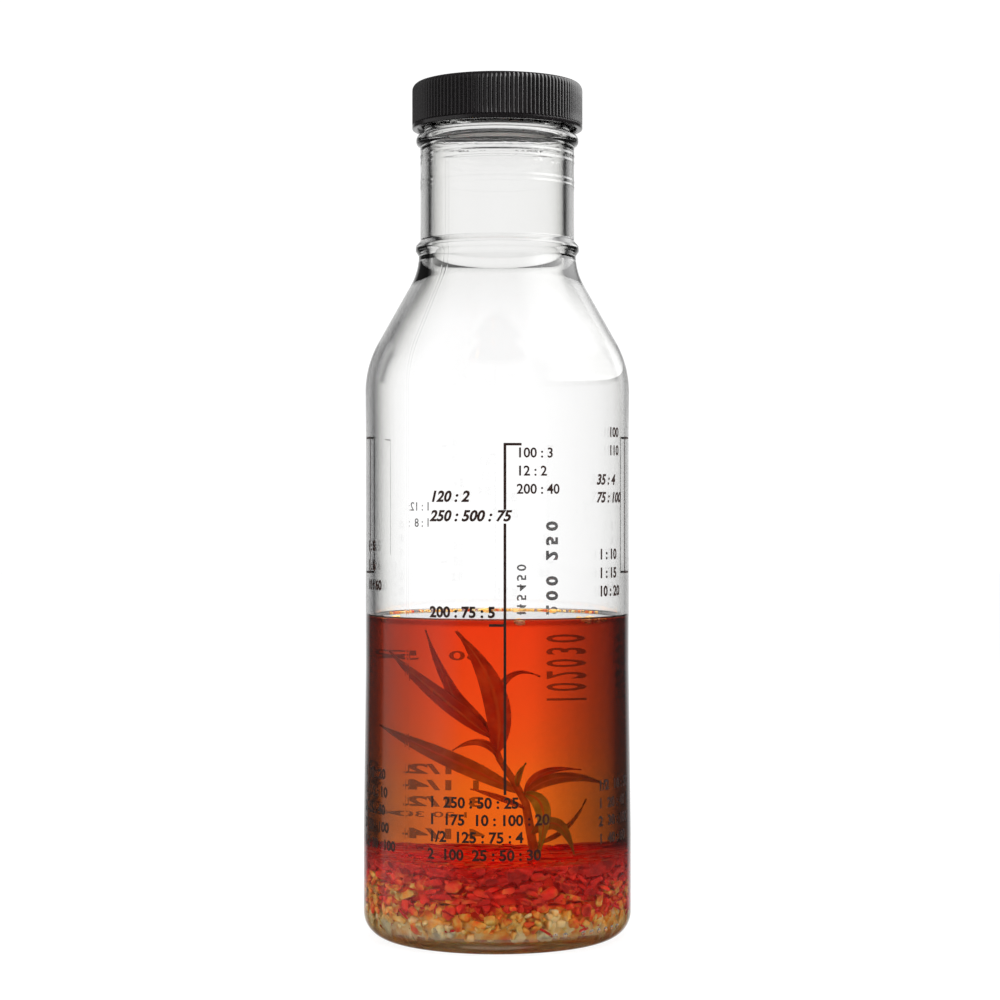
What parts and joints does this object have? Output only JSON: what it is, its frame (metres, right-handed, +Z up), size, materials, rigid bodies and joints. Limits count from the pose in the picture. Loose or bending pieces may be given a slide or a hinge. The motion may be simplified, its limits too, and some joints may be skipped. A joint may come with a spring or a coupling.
{
  "type": "dressing shaker bottle",
  "caption": "Clear ring-neck glass dressing bottle with a ribbed black screw cap on a foam liner, part filled with an orange-red dressing, herb sprig and chopped bits.",
  "frame": {"origin": "middle of the base, on the plane the bottle rests on", "axes": "+Z up along the bottle's axis, towards the cap; -Y is the front with the main scale"},
  "size_m": [0.0635, 0.0634, 0.2024],
  "materials": {
    "flint_glass": "clear blown flint glass, glossy",
    "cap_black": "moulded black polypropylene, satin",
    "liner_foam": "white foamed polyethylene sheet",
    "dressing_liquid": "translucent orange-red oil dressing",
    "shallot_red": "wet chopped shallot steeped in red",
    "garlic_cream": "wet chopped garlic",
    "herb_leaf": "steeped herb leaf, waxy",
    "fired_ink": "dark brown fired-on screen print, satin"
  },
  "bodies": {
    "bottle": {"glass_bottle": "flint_glass", "dressing": "dressing_liquid", "shallot_bits": "shallot_red", "garlic_bits": "garlic_cream", "floating_chips": "garlic_cream", "herb_sprig": "herb_leaf"},
    "liner": {"cap_liner": "liner_foam"},
    "cap": {"cap_shell": "cap_black"}
  },
  "joints": [
    {"name": "cap_rise", "type": "slide", "parent": "bottle", "child": "liner", "axis": [0, 0, 1], "range_m": [0, 0.0127]},
    {"name": "cap_turn", "type": "hinge", "parent": "liner", "child": "cap", "pos_m": [0, 0, 0.1999], "axis": [0, 0, 1], "range_deg": [0, 1080]}
  ],
  "couplings": [
    {"joint": "cap_rise", "follows": "cap_turn", "m_per_rad": 0.0006737}
  ]
}
